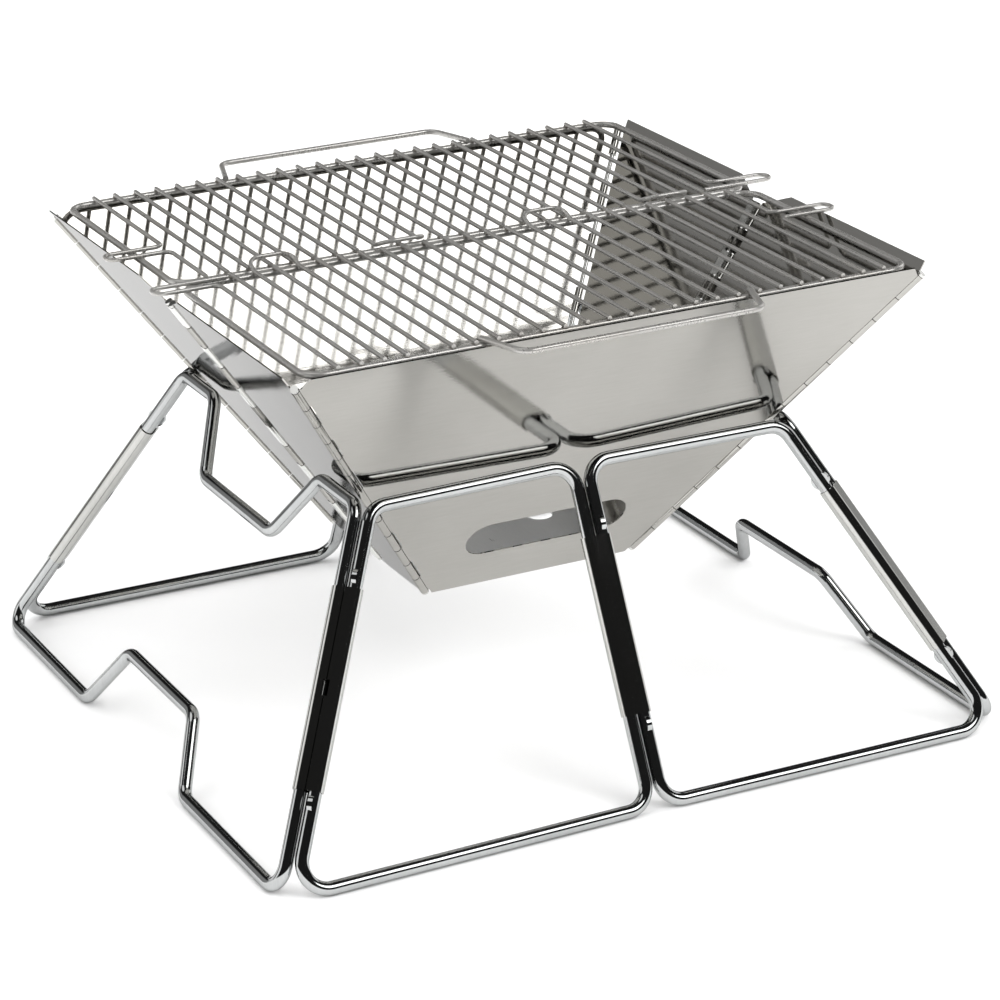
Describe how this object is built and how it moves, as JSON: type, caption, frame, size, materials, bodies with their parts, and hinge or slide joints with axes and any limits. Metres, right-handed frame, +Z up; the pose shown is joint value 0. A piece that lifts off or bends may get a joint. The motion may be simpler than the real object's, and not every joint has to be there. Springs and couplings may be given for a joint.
{
  "type": "folding camp grill",
  "caption": "Folding camp fire grill: tapered four-sided sheet steel hopper in a hinged wire loop stand, with a two-part wire cooking grate hung on its rim.",
  "frame": {"origin": "centre of the stand's footprint on the ground", "axes": "+Z up, +X to the right along the long rim, -Y towards the front"},
  "size_m": [0.472, 0.4555, 0.2917],
  "materials": {
    "stand_wire": "polished stainless wire",
    "sleeve": "polished stainless tube",
    "sheet": "bright rolled stainless sheet",
    "hinge": "bright stainless",
    "pin": "drawn stainless rod",
    "inner_plate": "plain stainless plate",
    "grate_wire": "bright plated wire"
  },
  "bodies": {
    "stand_left": {"stand_loop_left": "stand_wire"},
    "stand_front_left": {"stand_loop_front_left": "stand_wire", "leg_sleeve_front_left": "sleeve"},
    "stand_front_right": {"stand_loop_front_right": "stand_wire", "leg_sleeve_front_middle": "sleeve", "leg_sleeve_front_right": "sleeve"},
    "stand_right": {"stand_loop_right": "stand_wire", "leg_sleeve_back_right": "sleeve"},
    "stand_back_left": {"stand_loop_back_left": "stand_wire", "leg_sleeve_back_left": "sleeve"},
    "stand_back_right": {"stand_loop_back_right": "stand_wire", "leg_sleeve_back_middle": "sleeve"},
    "hopper_front": {"hopper_panel_front": "sheet", "corner_pin_front_left": "pin", "corner_pin_front_right": "pin"},
    "gusset_left_front": {"hopper_gusset_left_front": "sheet"},
    "link_left": {"mid_hinge_links_left": "hinge", "mid_hinge_pin_left_front": "pin", "mid_hinge_pin_left_back": "pin"},
    "gusset_left_back": {"hopper_gusset_left_back": "sheet"},
    "hopper_back": {"hopper_panel_back": "sheet", "corner_pin_back_left": "pin", "corner_pin_back_right": "pin"},
    "gusset_right_front": {"hopper_gusset_right_front": "sheet"},
    "link_right": {"mid_hinge_links_right": "hinge", "mid_hinge_pin_right_front": "pin", "mid_hinge_pin_right_back": "pin"},
    "gusset_right_back": {"hopper_gusset_right_back": "sheet"},
    "charcoal_grid": {"charcoal_grid": "inner_plate"},
    "ash_plate": {"ash_plate": "inner_plate"},
    "grate_back": {"grate_back_border": "grate_wire", "grate_back_rods": "grate_wire", "grate_back_hooks": "grate_wire", "grate_back_lugs": "grate_wire", "grate_back_handle": "grate_wire"},
    "grate_front": {"grate_front_border": "grate_wire", "grate_front_rods": "grate_wire", "grate_front_hooks": "grate_wire", "grate_front_lugs": "grate_wire", "grate_front_handle": "grate_wire"}
  },
  "joints": [
    {"name": "hopper_lift", "type": "slide", "parent": "stand_left", "child": "hopper_front", "axis": [0, 0, 1], "range_m": [0, 0.35]},
    {"name": "front_left_leg_turn", "type": "hinge", "parent": "stand_left", "child": "stand_front_left", "pos_m": [-0.23197, -0.21589, 0.004], "axis": [0.4256, 0.4071, 0.8082], "range_deg": [0, 73.75]},
    {"name": "front_middle_leg_turn", "type": "hinge", "parent": "stand_front_left", "child": "stand_front_right", "pos_m": [-0.0043, -0.219, 0.004], "axis": [0, 0.4498, 0.8931], "range_deg": [-124.06, 0]},
    {"name": "front_right_leg_turn", "type": "hinge", "parent": "stand_front_right", "child": "stand_right", "pos_m": [0.23197, -0.21589, 0.004], "axis": [-0.4256, 0.4071, 0.8082], "range_deg": [0, 69.97]},
    {"name": "back_left_leg_turn", "type": "hinge", "parent": "stand_left", "child": "stand_back_left", "pos_m": [-0.23197, 0.21589, 0.004], "axis": [0.4256, -0.4071, 0.8082], "range_deg": [-73.75, 0]},
    {"name": "back_middle_leg_turn", "type": "hinge", "parent": "stand_back_left", "child": "stand_back_right", "pos_m": [-0.0043, 0.219, 0.004], "axis": [0, -0.4498, 0.8931], "range_deg": [0, 124.06]},
    {"name": "hopper_fold", "type": "hinge", "parent": "hopper_front", "child": "gusset_left_front", "pos_m": [0, 0, -0.007], "axis": [0.5017, 0.4641, -0.73], "range_deg": [0, 90.97]},
    {"name": "left_link_turn", "type": "hinge", "parent": "gusset_left_front", "child": "link_left", "pos_m": [0, -0.0028, -0.007], "axis": [-0.5664, 0, 0.8241], "range_deg": [0, 74.16]},
    {"name": "left_back_gusset_turn", "type": "hinge", "parent": "link_left", "child": "gusset_left_back", "pos_m": [0, 0.0028, -0.007], "axis": [-0.5664, 0, 0.8241], "range_deg": [0, 76.78]},
    {"name": "back_panel_turn", "type": "hinge", "parent": "gusset_left_back", "child": "hopper_back", "pos_m": [0, 0, -0.007], "axis": [-0.5017, 0.4641, 0.73], "range_deg": [-91.1, 0]},
    {"name": "right_front_gusset_turn", "type": "hinge", "parent": "hopper_front", "child": "gusset_right_front", "pos_m": [0, 0, -0.007], "axis": [-0.5017, 0.4641, -0.73], "range_deg": [-91.02, 0]},
    {"name": "right_link_turn", "type": "hinge", "parent": "gusset_right_front", "child": "link_right", "pos_m": [0, -0.0028, -0.007], "axis": [0.5664, 0, 0.8241], "range_deg": [-74.16, 0]},
    {"name": "right_back_gusset_turn", "type": "hinge", "parent": "link_right", "child": "gusset_right_back", "pos_m": [0, 0.0028, -0.007], "axis": [0.5664, 0, 0.8241], "range_deg": [-77.55, 0]},
    {"name": "charcoal_grid_lift", "type": "slide", "parent": "hopper_front", "child": "charcoal_grid", "axis": [0, 0, 1], "range_m": [0, 0.48024]},
    {"name": "ash_plate_lift", "type": "slide", "parent": "hopper_front", "child": "ash_plate", "axis": [0, 0, 1], "range_m": [0, 0.43022]},
    {"name": "grate_lift", "type": "slide", "parent": "hopper_front", "child": "grate_back", "axis": [0, 0, 1], "range_m": [0, 0.70035]},
    {"name": "grate_fold", "type": "hinge", "parent": "grate_back", "child": "grate_front", "pos_m": [0, 0, 0.28035], "axis": [1, 0, 0], "range_deg": [0, 175.09]}
  ],
  "couplings": [
    {"joint": "front_left_leg_turn", "follows": "hopper_lift", "rad_per_m": 3.6756},
    {"joint": "front_middle_leg_turn", "follows": "hopper_lift", "rad_per_m": -6.1836},
    {"joint": "front_right_leg_turn", "follows": "hopper_lift", "rad_per_m": 3.4877},
    {"joint": "back_left_leg_turn", "follows": "hopper_lift", "rad_per_m": -3.6756},
    {"joint": "back_middle_leg_turn", "follows": "hopper_lift", "rad_per_m": 6.1836},
    {"joint": "left_link_turn", "follows": "hopper_fold", "ratio": 0.81483},
    {"joint": "left_back_gusset_turn", "follows": "hopper_fold", "ratio": 0.84357},
    {"joint": "back_panel_turn", "follows": "hopper_fold", "ratio": -1.0009},
    {"joint": "right_front_gusset_turn", "follows": "hopper_fold", "ratio": -1},
    {"joint": "right_link_turn", "follows": "hopper_fold", "ratio": -0.81483},
    {"joint": "right_back_gusset_turn", "follows": "hopper_fold", "ratio": -0.852},
    {"joint": "charcoal_grid_lift", "follows": "hopper_fold", "m_per_rad": 0.30232},
    {"joint": "ash_plate_lift", "follows": "hopper_fold", "m_per_rad": 0.27083},
    {"joint": "grate_lift", "follows": "hopper_fold", "m_per_rad": 0.44088},
    {"joint": "grate_fold", "follows": "hopper_fold", "ratio": 1.9237}
  ]
}
